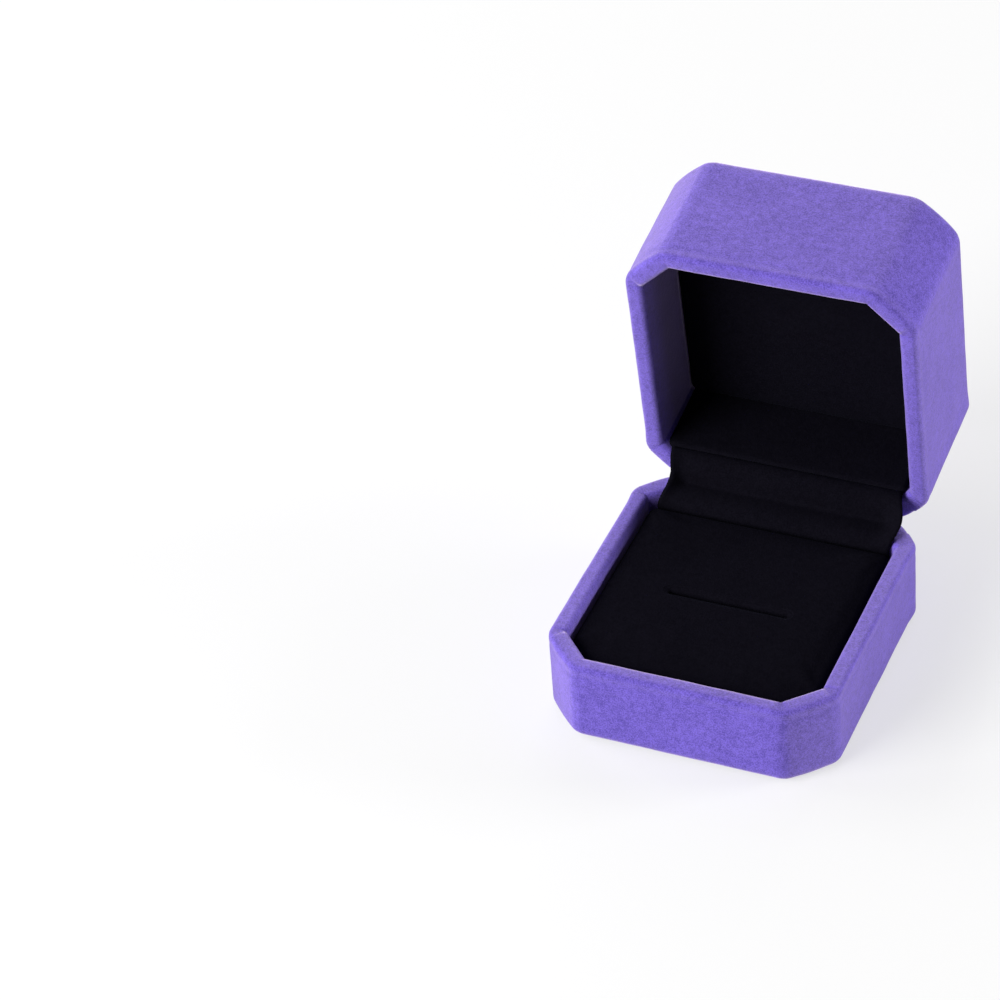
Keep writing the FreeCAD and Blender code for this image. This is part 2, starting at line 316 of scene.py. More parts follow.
# Painted shade: a deeper colour is painted inside, away from the rims and deep in the section.
inner_shade_reach = (1.2 * mm, 9 * mm)
inner_shade_depths = (2.6 * mm, 3.3 * mm)


def smooth(low, high, value):
    """0 below low, 1 above high and an S between them."""
    share = np.clip((value - low) / (high - low), 0, 1)
    return share * share * (3 - 2 * share)


def seam_push(ring):
    """How far the cloth stands out at its seam: it rises to the edge that overlaps, and drops behind it."""
    run = ((half_width - ring.real) + (ring.imag - half_depth + corner_cut)) / (2 * corner_cut)
    on_side = (run > seam_near[0]) & (run < seam_near[1]) & (ring.real > 0) & (ring.imag > 0)
    rise = smooth(-0.05, seam_share - 0.02, run) * (run < seam_share)
    groove = (run >= seam_share) * (1 - smooth(seam_share, seam_share + groove_share, run))
    return on_side * (seam_lift * rise - seam_groove * groove)


def corner_push(ring, front_bulge, back_bulge):
    """How far the cloth bridges each cut corner: most in its middle.
    At the back it starts already on the side."""
    across, along = np.abs(ring.real), np.abs(ring.imag)
    run = ((half_width - across) + (along - half_depth + corner_cut)) / (2 * corner_cut)
    half_run = np.where((ring.imag > 0) & (run < 0.5), long_half_run, plain_half_run)
    off_centre = np.clip(np.abs(run - 0.5) / half_run, 0, 1)
    push = np.where(ring.imag > 0, back_bulge, front_bulge) * (1 - off_centre * off_centre)
    return push * (np.sign(ring.real) + 1j * np.sign(ring.imag)) / math.sqrt(2)


def crimps():
    """0 to 1 along the box's outline: small crimps at each turned corner, where cloth bunches over a rim."""
    ring = box_outline(0)
    turn = np.abs(np.angle(np.roll(ring, -1) - ring) - np.angle(ring - np.roll(ring, 1)))
    turn = np.minimum(turn, 2 * math.pi - turn)
    bent = turn > 0.4 * np.max(turn)
    inside = bent & np.roll(bent, 1) & np.roll(bent, -1)
    return np.where(inside, np.arange(len(ring)) % 2, 0.0)


def wrap(name, front, back, dips, thin_below, rims, bulges, moved=None):
    """Carries a section round the box's outline: one section for the front, one for the back with its hinge.
    rims are heights with the way that their cloth rolls, bulges are those of the front and back corners."""
    points, rim_sheen, inner_shade = [], [], []
    bunch = crimps()
    for (depth, height), (back_depth, back_height) in zip(front, back):
        ring = box_outline(depth)
        to_back = smooth(*back_turn, ring.imag)
        ring = ring + (box_outline(back_depth) - ring) * to_back
        level = height + (back_height - height) * to_back
        at_back = (ring.imag > 0) & (np.abs(ring.real) < notch_reach)
        at_hinge = at_back * (1 - smooth(*notch_end, np.abs(ring.real)))
        inner = smooth(*inner_depths, depth) * (height < thin_below)
        drawn = ring.imag + at_hinge * inner * depth * (1 - thin_share)
        sunk = level - dips * at_hinge * smooth(*notch_levels, level)
        outside = 1 - smooth(*outer_depths, depth)
        push = (seam_push(ring) * (1 + 1j) / math.sqrt(2) + corner_push(ring, *bulges)) * outside
        for rim, way in rims:
            near = 1 - smooth(*crimp_reach, abs(level - rim))
            sunk = sunk - way * crimp_depth * bunch * near
        from_rim = np.min([abs(level - rim) for rim, way in rims], axis=0)
        # Painted sheen: how much paler colour is painted near each rim.
        rim_sheen.extend(1 - smooth(*rim_sheen_reach, from_rim))
        # Painted shade: how much deeper colour is painted inside, away from the rims.
        inner_shade.extend(smooth(*inner_shade_reach, from_rim) * smooth(*inner_shade_depths, depth))
        points.extend(zip(ring.real + push.real, drawn + push.imag, sunk))
    count = len(points) // len(front)
    piece = make_piece(name, points, bands(len(front), count, True), moved)
    for pile, values in (("painted_rim_sheen", rim_sheen), ("painted_inner_shade", inner_shade)):
        attribute = piece.data.attributes.new(pile, "FLOAT", "POINT")
        attribute.data.foreach_set("value", np.array(values, np.float32))
    return piece


base_low = wrap_low.z
# The welt as depth and distance from the rim.
welt = [(0, 1.35 * mm), (0.03 * mm, 1.75 * mm), (0.06 * mm, 2.2 * mm), (0.03 * mm, 2.8 * mm), (0, 3.4 * mm)]
bottom_round = 1.5 * mm
top_round = 1.45 * mm
base_tuck, base_turn_in = 7.2 * mm, 7.0 * mm
lid_tuck, cushion_tuck = 2.0 * mm, 1.0 * mm


def base_section(rim_round):
    """The base's velvet from inside, over the rim, down the outside and under the floor."""
    middle = base_height - rim_round
    line = [(rim_thick, base_height - base_tuck)]
    line += straight(line[-1], (rim_thick, base_height - inner_rim_round), 4)
    line += arc(rim_thick - inner_rim_round, base_height - inner_rim_round, inner_rim_round, 0, 90)
    line += arc(rim_round, middle, rim_round, 90, 180)
    line += [(depth, base_height - drop) for depth, drop in welt]
    line += straight(line[-1], (0, base_low + bottom_round), 12)
    line += arc(bottom_round, base_low + bottom_round, bottom_round, 180, 270)
    end = (base_turn_in, base_low)
    return line + straight(line[-1], end, 3) + [end]


def lid_section(rim_round):
    """The lid's velvet from the ceiling, over the lower rim, up the outside and over the top rim."""
    line = [(rim_thick, ceiling_face + lid_tuck)]
    line += straight(line[-1], (rim_thick, lid_rim + inner_rim_round), 12)
    line += arc(rim_thick - inner_rim_round, lid_rim + inner_rim_round, inner_rim_round, 0, -90)
    line += arc(rim_round, lid_rim + rim_round, rim_round, -90, -180)
    line += [(depth, lid_rim + drop) for depth, drop in welt]
    line += straight(line[-1], (0, lid_top - top_round), 20)
    line += arc(top_round, lid_top - top_round, top_round, 180, 90)
    line += arc(rim_thick - top_round, lid_top - top_round, top_round, 90, 0)
    end = (rim_thick, cushion_floor + cushion_tuck)
    return line + straight(line[-1], end, 4) + [end]


base_line, base_back_line = base_section(front_rim_round), base_section(back_rim_round)
lid_line, lid_back_line = lid_section(front_rim_round), lid_section(back_rim_round)
base_wrap = wrap(
    "base_velvet", doubled(base_line, velvet), doubled(base_back_line, velvet),
    notch_drop, base_height, [(base_height, 1)], base_bulges,
)
lid_wrap = wrap(
    "lid_velvet", doubled(lid_line, -velvet), doubled(lid_back_line, -velvet),
    0, ceiling_face + 3.5 * mm, [(lid_rim, -1), (lid_top, 1)], lid_bulges, lid_swing,
)
for piece, grain in ((base_wrap, 5.0 * mm), (lid_wrap, 5.5 * mm)):
    ruffle(piece, 0.06 * mm, grain)
    print(piece.name, len(piece.data.vertices), "points")

# %% [markdown]
# ## Padded pieces
# The lid's cushion, the pad and the lid's ceiling are foam under velvet.
# A cloth simulation is the honest way to their shape: a form a little too small is blown up, held at its base.
# Blender's cloth suits things the size of a sofa.
# So each form is simulated ten times as large and shrunk again.

# %% Padded pieces
blow_up = 10.0
sim_frames = 20
crown_rings = 14
pad_voxel = 0.8 * mm


def pad_form(name, outline, section, crown):
    """A closed form: the outline's rings by depth and height, then rings that shrink over a crown."""
    rings = [(outline(inset), height) for inset, height in section]
    last, top = rings[-1]
    middle = np.mean([last.real.min(), last.real.max()]) + 1j * np.mean([last.imag.min(), last.imag.max()])
    for share in np.linspace(1, 0, crown_rings)[1:-1]:
        rings.append((middle + (last - middle) * share, top + crown * (1 - share * share)))
    return strip(name, [[(point.real, point.imag, height) for point in ring] for ring, height in rings])


def settle(piece):
    """Replaces the piece's mesh by what its modifiers make of it."""
    graph = bpy.context.evaluated_depsgraph_get()
    made = bpy.data.meshes.new_from_object(piece.evaluated_get(graph))
    piece.modifiers.clear()
    piece.data = made
    piece.data.shade_smooth()


def even_out(piece, voxel):
    """Gives a form an even mesh, as cloth needs it, and rounds the steps that leaves."""
    remesh = piece.modifiers.new("even", "REMESH")
    remesh.mode = "VOXEL"
    remesh.voxel_size = voxel
    rounding = piece.modifiers.new("rounding", "SMOOTH")
    rounding.factor = 0.5
    rounding.iterations = 4
    settle(piece)


def swell(piece, held, pressure, most):
    """Blows a piece up by cloth simulation.
    held tells which points stay, most is the furthest a point may go."""
    piece.data.transform(Matrix.Scale(blow_up, 4))
    start = np.array([vertex.co for vertex in piece.data.vertices])
    group = piece.vertex_groups.new(name="held")
    for vertex in piece.data.vertices:
        weight = held(vertex.co / blow_up)
        if weight > 0:
            group.add([vertex.index], weight, "REPLACE")
    cloth = piece.modifiers.new("cloth", "CLOTH")
    cloth.settings.use_pressure = True
    cloth.settings.uniform_pressure_force = pressure
    cloth.settings.vertex_group_mass = "held"
    cloth.settings.effector_weights.gravity = 0
    scene = bpy.context.scene
    for step in range(1, sim_frames + 1):
        scene.frame_set(step)
    settle(piece)
    scene.frame_set(1)
    end = np.array([vertex.co for vertex in piece.data.vertices])
    move = end - start
    reach = np.linalg.norm(move, axis=1, keepdims=True)
    limit = most * blow_up
    eased = start + move / np.maximum(reach, 1e-9) * limit * np.tanh(reach / limit)
    piece.data.vertices.foreach_set("co", (eased / blow_up).astype(np.float32).ravel())
    piece.data.update()
    piece.vertex_groups.clear()
    furthest = float(np.abs(eased - start).max()) / blow_up
    print(piece.name, len(start), "points, swollen by up to", round(furthest / mm, 2), "mm")


def pad_up(piece, held, pressure, most):
    """Evens a form's mesh and swells it."""
    even_out(piece, pad_voxel)
    swell(piece, held, pressure, most)


# %% [markdown]
# ## The lid's cushion
# The top of the lid is a crowned cushion that sits in the lid's rim with a dark line all round it.
# It starts with rounded shoulders and a low crown. The simulation fills it.

# %% The lid's cushion
cushion_inset = rim_thick + 0.15 * mm
cushion_corner = 2.4 * mm
cushion_crown = 0.7 * mm
glued_edge = (0.8 * mm, 4.0 * mm)
shoulder = 1.6 * mm
shoulder_top = lid_top - 0.75 * mm


def edge_distance(co, inset):
    """How far a point is from the box's outline drawn in by the inset, seen from above."""
    x, y = half_width - inset - abs(co.x), half_depth - inset - abs(co.y)
    return min(x, y, (x + y - cut_leg(inset)) / math.sqrt(2))


def cushion_held(co):
    """1 where the cushion is glued in, easing to 0 over its shoulder."""
    if co.z < shoulder_top - shoulder:
        return 1.0
    return float(1 - smooth(*glued_edge, edge_distance(co, cushion_inset)))


cushion_line = [(cushion_inset + 0.5 * mm, cushion_floor), (cushion_inset, cushion_floor + 0.6 * mm)]
cushion_line += straight(cushion_line[-1], (cushion_inset, shoulder_top - shoulder), 3)
cushion_line += arc(cushion_inset + shoulder, shoulder_top - shoulder, shoulder, 180, 100)
cushion = pad_form("lid_cushion", lambda inset: box_outline(inset, cushion_corner), cushion_line, cushion_crown)
pad_up(cushion, cushion_held, 4.0, 0.8 * mm)
cushion.data.transform(lid_swing)

# %% [markdown]
# ## The pad with its slit
# The black pad lies sunk in the base, and its slit grips what is shown.
# The pad is swollen first. The slit is then cut with a tool whose flared mouth leaves soft lips.

# %% The pad with its slit
pad_inset = rim_thick + 0.32 * mm
pad_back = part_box("pad_velvet")[1].y
pad_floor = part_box("pad_velvet")[0].z
pad_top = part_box("pad_velvet")[1].z
pad_roll = 1.3 * mm
pad_corner = 1.6 * mm


def lining_outline(inset):
    """The outline that the pad and the lid's ceiling share."""
    return pad_outline(inset, pad_back + pad_inset - inset, pad_corner)


pad_line = [(pad_inset, pad_floor)]
pad_line += straight(pad_line[-1], (pad_inset, pad_top - pad_roll), 4)
pad_line += arc(pad_inset + pad_roll, pad_top - 0.25 * mm - pad_roll, pad_roll, 180, 95)
pad = pad_form("show_pad", lining_outline, pad_line, 0.0)
pad_up(pad, lambda co: 1.0 if co.z < pad_top - 2.2 * mm else 0.0, 2.0, 0.3 * mm)

slit_half_length = 12.0 * mm
slit_half_gap = 0.4 * mm
slit_depth = 7.5 * mm
lip_round = 1.1 * mm
slit_y = (pad_back + pad_inset - half_depth) / 2
slit_rows = [(slit_half_gap, pad_top - slit_depth), (slit_half_gap, pad_top - 3 * mm)]
slit_rows += arc(slit_half_gap + lip_round, pad_top - lip_round, lip_round, 180, 90)
slit_rows += [(slit_half_gap + lip_round, pad_top + 2 * mm)]
slit_loops = []
for half_gap, height in slit_rows:
    round_end = half_gap * np.exp(1j * np.linspace(-math.pi / 2, math.pi / 2, 9))
    right_end = round_end + slit_half_length - slit_half_gap
    slot = np.concatenate([right_end, -right_end])
    slit_loops.append([(point.real, point.imag + slit_y, height) for point in slot])
slit_tool = strip("slit_tool", slit_loops)
finer = pad.modifiers.new("finer", "SUBSURF")
finer.levels = finer.render_levels = 1
cut = pad.modifiers.new("slit", "BOOLEAN")
cut.operation = "DIFFERENCE"
cut.solver = "EXACT"
cut.object = slit_tool
settle(pad)
bpy.data.objects.remove(slit_tool)
print("pad", len(pad.data.vertices), "points, slit", round(2 * slit_half_length / mm), "mm long")

# %% [markdown]
# ## The lid's ceiling
# Inside the lid is a thin padded board under black velvet. It is a pad turned over, with hardly any crown.

# %% The lid's ceiling
ceiling_line = [(pad_inset, ceiling_face + rise) for rise in (2.5 * mm, 1.7 * mm, 1.1 * mm)]
ceiling_line += arc(pad_inset + 0.9 * mm, ceiling_face + 1.0 * mm, 0.9 * mm, 180, 265)
ceiling = pad_form("lid_ceiling", lining_outline, ceiling_line, 0.0)
pad_up(ceiling, lambda co: 1.0 if co.z > ceiling_face + 1.4 * mm else 0.0, 2.0, 0.25 * mm)
ceiling.data.transform(lid_swing)

# %% [markdown]
# ## Panel cover and hinge flap
# In front of the lid's back wall stands a board in black velvet.
# From its lower edge a flap runs over the hinge and is tucked in behind the pad.
# The flap has to bend each time the lid moves. Here it is built with the lid open, from the pad to the panel.

# %% Panel cover and hinge flap


def inner_half(y):
    """Half the clear width between the cut back corners, at a distance from the box's middle."""
    return half_width - pad_inset - max(y - (half_depth - pad_inset - cut_leg(pad_inset)), 0)


panel_board_front, panel_board_back = pad_back + 0.7 * mm, pad_back + 1.4 * mm
panel_low = lid_rim + 2.0 * mm
panel_high = ceiling_face + 3.2 * mm
panel_cloth = 0.65 * mm
fold_middle = (panel_board_front + panel_board_back) / 2
fold_radius = fold_middle - pad_back
panel_line = [(pad_back, panel_high)]
panel_line += straight(panel_line[-1], (pad_back, panel_low), 16)
panel_line += arc(fold_middle, panel_low, fold_radius, 180, 360, 13)
panel_line += straight(panel_line[-1], (fold_middle + fold_radius, panel_low + 4.0 * mm), 4)
panel_loop = doubled(panel_line, panel_cloth)
panel_loops = [[(share * inner_half(y), y, z) for y, z in panel_loop] for share in np.linspace(-1, 1, 37)]
panel_cover = strip("lid_back_panel", panel_loops, lid_swing)
ruffle(panel_cover, 0.05 * mm, 6 * mm)

flap_cloth = 0.6 * mm
flap_pin_room = 3.1 * mm
flap_low = complex(pad_back + 0.15 * mm, pad_top - 1.3 * mm)
flap_end = lid_swing @ Vector((0, pad_back + 0.5 * mm, panel_low - fold_radius + 0.1 * mm))
flap_high = complex(flap_end.y, flap_end.z)
pin = complex(hinge_point.y, hinge_point.z)
flap_shares = np.linspace(0, 1, 37)
flap_tuck = np.array([1.8, 1.2, 0.6]) * mm
flap_left, flap_right = 23.6 * mm, 24.0 * mm
flap_waist, flap_belly = 1.3 * mm, 1.7 * mm
flap_hinge_half = 17.0 * mm
flap_pin_most = 7.0 * mm


def flap_line(x):
    """The flap's section at a distance from the middle: round the pin, and closer to it half way."""
    near, far = flap_low - pin, flap_high - pin
    nearest = min(max(flap_pin_room, abs(x) - flap_hinge_half), flap_pin_most)
    radius = abs(near) + (abs(far) - abs(near)) * flap_shares
    dip = np.minimum(radius - nearest, radius) * np.sin(math.pi * flap_shares) ** 2
    angle = np.linspace(cmath.phase(near) % (2 * math.pi), cmath.phase(far), len(flap_shares))
    line = list(flap_low - 1j * flap_tuck) + list(pin + (radius - dip) * np.exp(1j * angle))
    return [(point.real, point.imag) for point in line]


flap_bow = np.concatenate([0 * flap_tuck, np.sin(math.pi * flap_shares) ** 2])
left_spans = list(flap_left - flap_waist * flap_bow)
right_spans = list(flap_right + flap_belly * flap_bow)
flap_loops = []
for side in np.linspace(-1, 1, 61):
    spans = right_spans if side > 0 else left_spans
    loop = doubled(flap_line(side * min(spans)), -flap_cloth)
    flap_loops.append([(side * span, y, z) for (y, z), span in zip(loop, spans + spans[::-1])])
flap = strip("hinge_flap_velvet", flap_loops)
flap_length = abs(np.diff([complex(*point) for point in flap_line(0)])).sum()
print("flap", round(flap_length / mm, 1), "mm long from pad to panel")

# %% [markdown]
# ## Bottom felt and snap spring
# The felt under the box is a cut sheet with soft edges.
# The snap spring is a bowed steel strip that hooks both leaves.
# It bends with the lid. A copy of its mesh takes its place, fastened to neither body.

# %% Bottom felt and snap spring
felt_inset = 2.5 * mm
felt_edge = [(0.4, 0.5), (0.1, 0.42), (0.0, 0.25), (0.1, 0.08), (0.4, 0.0)]
felt_line = [(felt_inset + inset * mm, height * mm) for inset, height in felt_edge]
felt = pad_form("bottom_felt", box_outline, felt_line, 0.0)

spring_mesh = frame["nodes"]["hinge_snap_spring"].data.copy()
spring = bpy.data.objects.new("snap_spring", spring_mesh)
bpy.context.scene.collection.objects.link(spring)
print("felt", len(felt.data.vertices), "points, spring", len(spring_mesh.vertices), "points")

# %% [markdown]
# ## Shader sums
# A finish is a small sum of noises. Written as nodes one by one it is hard to read,
# so a socket gets Python's operators: + and * each add the Math node that they stand for.
# Any other node comes from one method.

# %% Shader sums


class Value:
    """A socket that can be added and multiplied: each sum adds a Math node."""

    def __init__(self, finish, socket):
        self.finish = finish
        self.socket = socket

    def sum(self, operation, first, second):
        return self.finish.node("ShaderNodeMath", {"operation": operation}, {0: first, 1: second})

    def __add__(self, other):
        return self.sum("ADD", self, other)

    def __radd__(self, other):
        return self.sum("ADD", other, self)

    def __mul__(self, other):
        return self.sum("MULTIPLY", self, other)


class Finish:
    """A material and its nodes."""

    def __init__(self, name):
        self.material = bpy.data.materials.new(name)
        self.material.use_nodes = True
        self.nodes = self.material.node_tree.nodes
        self.links = self.material.node_tree.links
        self.nodes.clear()
        self.coords = self.node("ShaderNodeTexCoord", out="Object")

    def node(self, kind, settings=None, sockets=None, out=0):
        """Adds a node: its settings, then the values or links of its sockets. Gives one output."""
        made = self.nodes.new(kind)
        for key, value in (settings or {}).items():
            setattr(made, key, value)
        for key, value in (sockets or {}).items():
            socket = made.inputs[key]
            if isinstance(value, Value):
                self.links.new(value.socket, socket)
            elif hasattr(socket.default_value, "__len__") and len(socket.default_value) == 4:
                socket.default_value = (*value, 1.0)
            else:
                socket.default_value = value
        return Value(self, made.outputs[out])

    def noise(self, size, detail=2.0, stretch=(1, 1, 1), roughness=0.5):
        """Noise whose blots are about this large, in metres."""
        scale = tuple(part / size for part in stretch)
        place = self.node("ShaderNodeMapping", None, {"Vector": self.coords, "Scale": scale})
        sockets = {"Vector": place, "Scale": 1.0, "Detail": detail, "Roughness": roughness}
        return self.node("ShaderNodeTexNoise", None, sockets)

    def ramp(self, value, low, high):
        """0 below low, 1 above high."""
        sockets = {"Value": value, "From Min": low, "From Max": high}
        return self.node("ShaderNodeMapRange", {"interpolation_type": "SMOOTHSTEP"}, sockets)

    def mix(self, share, first, second):
        """A colour between two colours."""
        return self.node("ShaderNodeMix", {"data_type": "RGBA"}, {0: share, 6: first, 7: second}, 2)

    def surface(self, colour, roughness, height, depth, strength, **fixed):
        """The surface itself, with a bump from the height. Sockets in fixed are the same all over."""
        bump = self.node("ShaderNodeBump", None, {"Height": height, "Distance": depth, "Strength": strength})
        sockets = {"Base Color": colour, "Roughness": roughness, "Normal": bump}
        for key, value in fixed.items():
            sockets[key.replace("_", " ").title().replace("Ior", "IOR")] = value
        self.shade(self.node("ShaderNodeBsdfPrincipled", None, sockets))
        return self.material

    def shade(self, shader):
        """Makes a shader the material's surface."""
        output = self.nodes.new("ShaderNodeOutputMaterial")
        self.links.new(shader.socket, output.inputs["Surface"])


print("sums ready")

# %% [markdown]
# ## Velvet
# Velvet is a forest of short upright threads. Seen along the pile it glows, seen into the pile it is deep.
# The shader's sheen gives that glow at grazing angles. Brushed patches and short streaks come from noise,
# in the colour and in a shallow bump.
# On the wraps a paler colour is painted near a rim as painted sheen, and a deeper one inside as painted shade.

# %% Velvet
patch_size, streak_size, pile_size = 8 * mm, 1.2 * mm, 0.28 * mm
patch_part, streak_part, pile_part = 0.1, 0.26, 0.64
mottle = 0.2
# Painted sheen at the rims: how much of the paler colour, how far the tone is lifted, how wide its range is.
rim_sheen_part, rim_sheen_lift, rim_sheen_spread = 0.5, 0.03, 0.4
# Painted shade inside: how much of it, and how dark it is against the deep colour.
inner_shade_part, inner_shade_tone = 0.8, 0.2
nap_depth, nap_strength = 0.3 * mm, 0.45
nap_rough, glow_rough = 0.95, 0.5


def times(factor, colour):
    return [factor * part for part in colour]


def velvet_finish(name, deep, light, rim_sheen, glow, glow_weight):
    """Velvet between a deep and a light colour, with painted sheen at the rims and painted shade inside."""
    finish = Finish(name)
    patches = finish.noise(patch_size, 1.0)
    streaks = finish.noise(streak_size, 2.0)
    pile = finish.noise(pile_size, 2.0)
    tone = patches * patch_part + streaks * streak_part + pile * pile_part
    # The wraps' numbers for painted sheen at the rims and painted shade inside.
    rims = finish.node("ShaderNodeAttribute", {"attribute_name": "painted_rim_sheen"}, out="Fac")
    inner_shade = finish.node("ShaderNodeAttribute", {"attribute_name": "painted_inner_shade"}, out="Fac")
    share = finish.ramp(tone + rims * rim_sheen_lift, 0.5 - mottle, 0.5 + mottle)
    lighter = finish.mix(share, times(1 - rim_sheen_spread, rim_sheen), times(1 + rim_sheen_spread, rim_sheen))
    # Painted sheen: a paler colour is mixed in near the rims.
    colour = finish.mix(rims * rim_sheen_part, finish.mix(share, deep, light), lighter)
    # Painted shade: the colour is darkened towards the deep colour inside.
    colour = finish.mix(inner_shade * inner_shade_part, colour, times(inner_shade_tone, deep))
    return finish.surface(
        colour, nap_rough, streaks * 0.5 + pile * 0.5, nap_depth, nap_strength,
        sheen_weight=glow_weight, sheen_roughness=glow_rough, sheen_tint=glow, specular_ior_level=0.0,
    )


# Each velvet's third colour is painted near its rims as painted sheen.
purple_velvet = velvet_finish(
    "purple_velvet", deep=(0.056, 0.035, 0.31), light=(0.198, 0.132, 0.69),
    rim_sheen=(0.136, 0.094, 0.44), glow=(0.78, 0.63, 1.0), glow_weight=1.0,
)
black_velvet = velvet_finish(
    "black_velvet", deep=(0.0034, 0.003, 0.0052), light=(0.0062, 0.0056, 0.0094),
    rim_sheen=(0.006, 0.005, 0.009), glow=(0.5, 0.5, 0.8), glow_weight=0.01,
)
print("velvets:", purple_velvet.name, black_velvet.name)

# %% [markdown]
# ## Felt, board, plastic and steel
# The other finishes hardly show, but each still has its own grain: fibres in the felt and the board,
# a fine mould texture on the plastic, drawn lines on the steel.

# %% Felt, board, plastic and steel


def felt_finish():
    """Black felt: long fibres in loose clumps."""
    finish = Finish("black_felt")
    fibres = finish.noise(0.5 * mm, 4.0)
    clumps = finish.noise(3 * mm, 2.0)
    share = fibres * 0.6 + clumps * 0.4
    colour = finish.mix(share, (0.008, 0.008, 0.01), (0.03, 0.03, 0.034))
    return finish.surface(colour, 1.0, fibres, 0.2 * mm, 0.8, sheen_weight=0.1, specular_ior_level=0.1)


def board_finish():
    """Grey board: cloudy pulp with darker flecks."""
    finish = Finish("grey_board")
    pulp = finish.noise(1.2 * mm, 5.0, (1, 1, 1), 0.65)
    flecks = finish.ramp(finish.noise(0.6 * mm, 1.0), 0.62, 0.7)
    pale_pulp = finish.mix(pulp, (0.36, 0.33, 0.28), (0.5, 0.47, 0.41))
    colour = finish.mix(flecks * 0.4, pale_pulp, (0.2, 0.18, 0.15))
    return finish.surface(colour, 0.9, pulp, 0.05 * mm, 0.4)


def plastic_finish():
    """Black plastic with a fine mould grain."""
    finish = Finish("shell_plastic")
    grain = finish.noise(0.35 * mm, 2.0)
    cloud = finish.noise(9 * mm, 2.0)
    colour = finish.mix(cloud, (0.012, 0.012, 0.014), (0.02, 0.02, 0.022))
    return finish.surface(colour, 0.45 + grain * 0.2, grain, 0.02 * mm, 0.4)


def steel_finish(name, dark, bright, rough):
    """Steel drawn along x."""
    finish = Finish(name)
    lines = finish.noise(0.15 * mm, 3.0, (0.03, 1, 1))
    stain = finish.noise(4 * mm, 3.0)
    colour = finish.mix(lines * 0.5 + stain * 0.5, dark, bright)
    return finish.surface(colour, rough + stain * 0.15, lines, 0.01 * mm, 0.3, metallic=1.0)


black_felt = felt_finish()
grey_board = board_finish()
shell_plastic = plastic_finish()
hinge_steel = steel_finish("hinge_steel", (0.42, 0.4, 0.36), (0.62, 0.6, 0.56), 0.28)
spring_steel = steel_finish("spring_steel", (0.2, 0.2, 0.22), (0.38, 0.38, 0.4), 0.25)
print("finishes:", [material.name for material in bpy.data.materials if material.use_nodes])

# %% [markdown]
# ## Finishes and fastening
# Every new piece is listed with its finish, the slot of the record that it belongs to, the CAD nodes that it
# stands for, and the body that it moves with. It gets its finish, those CAD nodes are hidden, and it is
# fastened to its body.
# The flap and the spring belong to neither body.

# %% Finishes and fastening


def dress(piece, material):
    """Gives a piece one finish."""
    piece.data.materials.clear()
    piece.data.materials.append(material)


new_pieces = [
    (base_wrap, purple_velvet, "purple_velvet", "base", ["base_velvet_wrap"]),
    (lid_wrap, purple_velvet, "purple_velvet", "lid", ["lid_velvet_wrap"]),
    (cushion, purple_velvet, "purple_velvet", "lid", ["cushion_velvet", "cushion_foam"]),
    (pad, black_velvet, "black_velvet", "base", ["pad_velvet", "pad_foam"]),
    (ceiling, black_velvet, "black_velvet", "lid", ["lining_velvet", "lining_foam"]),
    (panel_cover, black_velvet, "black_velvet", "lid", ["back_panel_velvet"]),
    (felt, black_felt, "black_felt", "base", ["base_bottom_felt"]),
    (flap, black_velvet, "black_velvet", None, ["hinge_flap"]),
    (spring, spring_steel, "spring_steel", None, ["hinge_snap_spring"]),
]
for piece, material, slot, body, nodes in new_pieces:
    dress(piece, material)
    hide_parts(*nodes)
    if body:
        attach(piece, body)

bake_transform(flap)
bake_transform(spring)

cad_finishes = {
    grey_board: ["base_bottom_card", "pad_board", "lining_board", "back_panel_board", "cushion_board"],
    shell_plastic: ["base_shell", "lid_shell"],
    hinge_steel: ["hinge_base_leaf", "hinge_lid_leaf", "hinge_pin", "base_leaf_rivets", "lid_leaf_rivets"],
}
for material, names in cad_finishes.items():
    for name in names:
        dress(frame["nodes"][name], material)
print("dressed", len(new_pieces), "new pieces")

# %% [markdown]
# ## Cloth sizes
# The size that each sheet was cut to is worked out here, and the wraps' sizes are printed.
# The wraps are strips as long as the box's outline, and as wide as their section is when it is laid flat.

# %% Cloth sizes


def line_length(points):
    """The length of a line through points."""
    return sum(math.dist(first, second) for first, second in zip(points, points[1:]))


outline_length = line_length([(point.real, point.imag) for point in box_outline(0)])
for piece, line, shell in ((base_wrap, base_line, "base_shell"), (lid_wrap, lid_line, "lid_shell")):
    wrap_cut = (outline_length, line_length(line))
    print(piece.name, "strip", [round(size / mm) for size in wrap_cut], "mm")
flap_area = float(np.mean(left_spans) + np.mean(right_spans)) * flap_length
panel_cut = (2 * inner_half(pad_back), line_length(panel_line))

# %% [markdown]
# ## Floor, light and background
# The box stands on a pale floor under soft studio light, and the background is white.
# White comes from what the camera sees, not from more light on the box: the world is white for camera, glossy
# and transmission rays. For those rays the floor adds a glow that lifts it to white but keeps the box's shadow.
# One lamp stands at the left front, one at the left, a low one at the right and a weak one behind.

# %% Floor, light and background
floor_reach = 3.0
floor_grey, floor_white = (0.55, 0.55, 0.55), (0.95, 0.95, 0.95)
floor_glow = 0.6
world_light = 0.07
pure_white = (1, 1, 1)
lamp_aim = Vector((0, 0, 0.03))


def seen_rays(finish):
    """1 for rays that show the background to the camera, in a mirror or through glass."""
    kinds = ["Is Camera Ray", "Is Glossy Ray", "Is Transmission Ray"]
    path = finish.node("ShaderNodeLightPath")
    outputs = path.socket.node.outputs
    total = Value(finish, outputs[kinds[0]])
    for kind in kinds[1:]:
        total = total + Value(finish, outputs[kind])
    return finish.node("ShaderNodeMath", {"operation": "MINIMUM"}, {0: total, 1: 1.0})


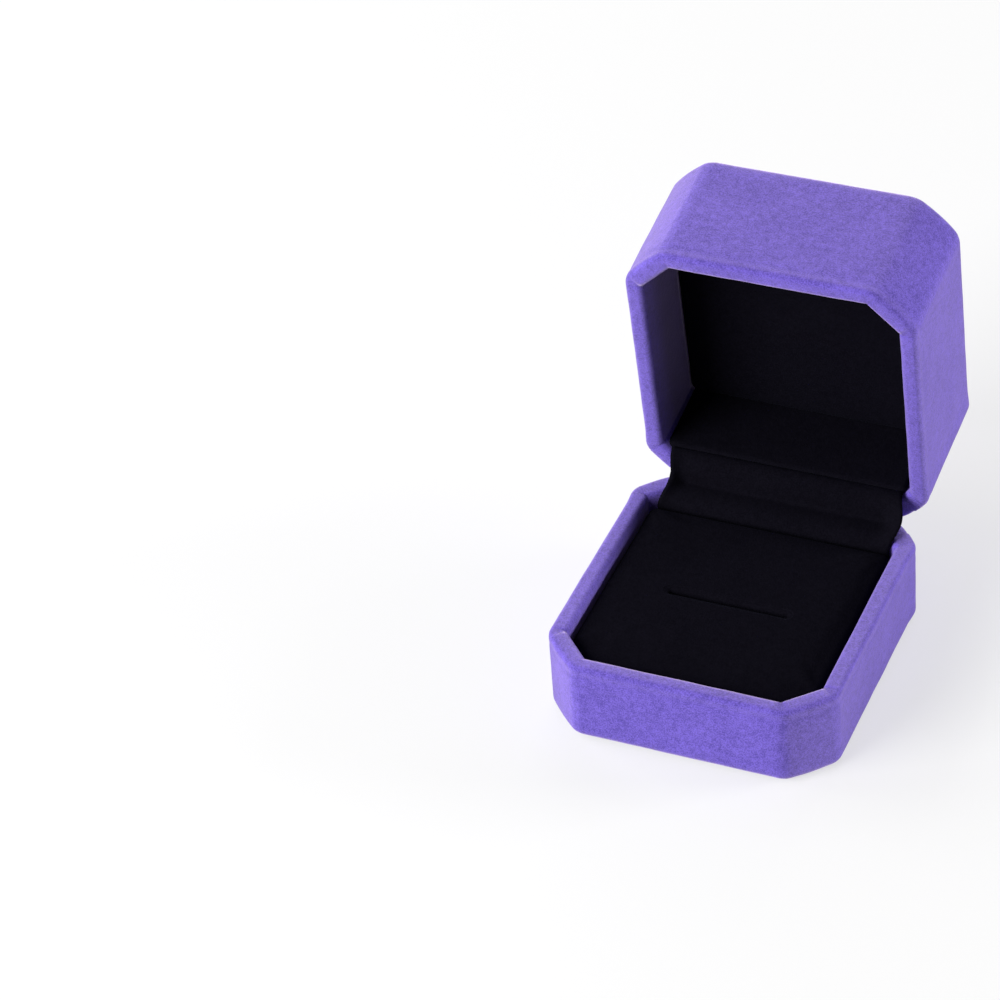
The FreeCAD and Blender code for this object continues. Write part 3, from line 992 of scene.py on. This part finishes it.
floor_mesh = bpy.data.meshes.new("floor")
floor_corners = [(x * floor_reach, y * floor_reach, 0) for x, y in ((-1, -1), (1, -1), (1, 1), (-1, 1))]
floor_mesh.from_pydata(floor_corners, [], [(0, 1, 2, 3)])
floor = bpy.data.objects.new("floor", floor_mesh)
bpy.context.scene.collection.objects.link(floor)
pale = Finish("pale_floor")
matt = pale.node("ShaderNodeBsdfDiffuse", None, {"Color": floor_grey})
white = pale.node("ShaderNodeBsdfDiffuse", None, {"Color": floor_white})
lift = pale.node("ShaderNodeEmission", None, {"Color": pure_white, "Strength": 1.0})
shown = pale.node("ShaderNodeMixShader", None, {0: floor_glow, 1: white, 2: lift})
pale.shade(pale.node("ShaderNodeMixShader", None, {0: seen_rays(pale), 1: matt, 2: shown}))
floor_mesh.materials.append(pale.material)


class Sky(Finish):
    """The world's nodes, made in the same way."""

    def __init__(self):
        world = bpy.data.worlds.new("studio")
        bpy.context.scene.world = world
        world.use_nodes = True
        self.nodes = world.node_tree.nodes
        self.links = world.node_tree.links
        self.nodes.clear()
        soft = self.node("ShaderNodeBackground", None, {"Color": pure_white, "Strength": world_light})
        white = self.node("ShaderNodeBackground", None, {"Color": pure_white, "Strength": 1.0})
        both = self.node("ShaderNodeMixShader", None, {0: seen_rays(self), 1: soft, 2: white})
        output = self.nodes.new("ShaderNodeOutputWorld")
        self.links.new(both.socket, output.inputs["Surface"])


Sky()


def lamp(name, place, size, power):
    """A square soft light that faces the box."""
    data = bpy.data.lights.new(name, "AREA")
    data.size = size
    data.energy = power
    light = bpy.data.objects.new(name, data)
    light.location = place
    light.rotation_mode = "QUATERNION"
    light.rotation_quaternion = (lamp_aim - Vector(place)).to_track_quat("-Z", "Y")
    bpy.context.scene.collection.objects.link(light)


lamp("left_front_light", (-0.6, -0.75, 0.45), 0.7, 14.6)
lamp("left_light", (-1.0, 0.0, 0.5), 0.7, 6.0)
lamp("right_light", (0.95, 0.45, 0.16), 0.4, 13.0)
lamp("back_light", (-0.2, 0.9, 0.6), 0.8, 3.4)
bpy.context.scene.view_settings.view_transform = "Standard"
print("lamps:", [item.name for item in bpy.data.lights])
